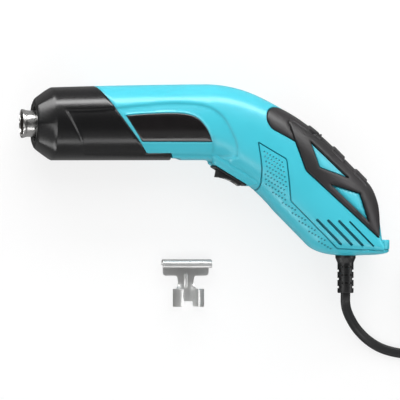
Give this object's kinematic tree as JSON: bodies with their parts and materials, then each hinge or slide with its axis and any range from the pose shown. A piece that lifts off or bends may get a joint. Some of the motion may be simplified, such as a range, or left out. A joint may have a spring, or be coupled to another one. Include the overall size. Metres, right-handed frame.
{
  "type": "embossing heat tool",
  "caption": "Hand-held embossing heat tool: angled handle with rubber grip and rocker switch, heater, fan and motor inside, coiled flat cord with plug, and a clip-on reflector nozzle.",
  "frame": {"origin": "on the floor, under the middle of the box round the tool and its reflector", "axes": "+X from the nozzle to the handle, +Y up in the hand, +Z from the right side, that it lies on, to the left side"},
  "size_m": [0.311, 0.156, 0.041],
  "materials": {
    "housing": "satin moulded, fine texture",
    "guard": "satin heat-resistant moulding",
    "stainless": "bright polished stainless",
    "sleeve_steel": "plain rolled sheet",
    "ceramic": "unglazed",
    "mica": "pressed sheet",
    "heating_wire": "oxidised",
    "holder": "moulded",
    "fan": "moulded",
    "motor_steel": "plated",
    "copper": "drawn copper",
    "windings": "enamelled copper on steel",
    "ferrite": "sintered",
    "bronze": "sintered bronze",
    "end_bell": "moulded",
    "board": "coated laminate",
    "component_black": "moulded",
    "component_blue": "dipped",
    "switch_black": "satin moulding",
    "terminals": "stamped",
    "wire_sleeves": "insulated wires, one red and one black",
    "grip": "soft-touch overmould",
    "label": "gloss plate, bare",
    "screws": "zinc plated",
    "cord": "flat twin flex",
    "relief": "moulded",
    "tie": "woven strap",
    "plug": "moulded",
    "plug_brass": "plated blades"
  },
  "bodies": {
    "housing": {"left_shell": "housing", "right_shell": "housing", "front_guard": "guard", "nozzle": "stainless", "front_insulator": "ceramic", "heater_sleeve": "sleeve_steel", "mica_sleeve": "mica", "mica_former": "mica", "heating_coil": "heating_wire", "thermostat": "motor_steel", "thermal_fuse": "motor_steel", "heat_shield": "sleeve_steel", "motor_holder": "holder", "motor_can": "motor_steel", "motor_magnets": "ferrite", "front_bearing": "bronze", "rear_bearing": "bronze", "motor_end_bell": "end_bell", "motor_brushes": "copper", "motor_screws": "screws", "rectifier_board": "board", "diodes": "component_black", "capacitor": "component_blue", "switch_body": "switch_black", "switch_terminals": "terminals", "wires": "wire_sleeves", "left_grip": "grip", "right_grip": "grip", "left_label": "label", "right_label": "label", "shell_screws": "screws", "cord_clamp": "component_black", "clamp_screws": "screws", "strain_relief": "relief", "cord_entry": "cord", "cord": "cord", "cord_coil": "cord", "cord_tail": "cord", "cord_tie": "tie", "plug_body": "plug", "plug_blades": "plug_brass"},
    "rocker": {"switch_rocker": "switch_black", "switch_blade": "copper"},
    "rotor": {"fan": "fan", "motor_shaft": "motor_steel", "armature": "windings", "commutator": "copper"},
    "reflector": {"reflector": "stainless"}
  },
  "joints": [
    {"name": "rocker_tilt", "type": "hinge", "parent": "housing", "child": "rocker", "pos_m": [0.01487, 0.01284, 0.0205], "axis": [0, 0, 1], "range_deg": [-20, 0]},
    {"name": "rotor_spin", "type": "hinge", "parent": "housing", "child": "rotor", "pos_m": [-0.02, 0.04015, 0.0205], "axis": [1, 0, 0], "continuous": true},
    {"name": "reflector_lift", "type": "slide", "parent": "housing", "child": "reflector", "axis": [0, 0, 1], "range_m": [0, 0.06]}
  ]
}
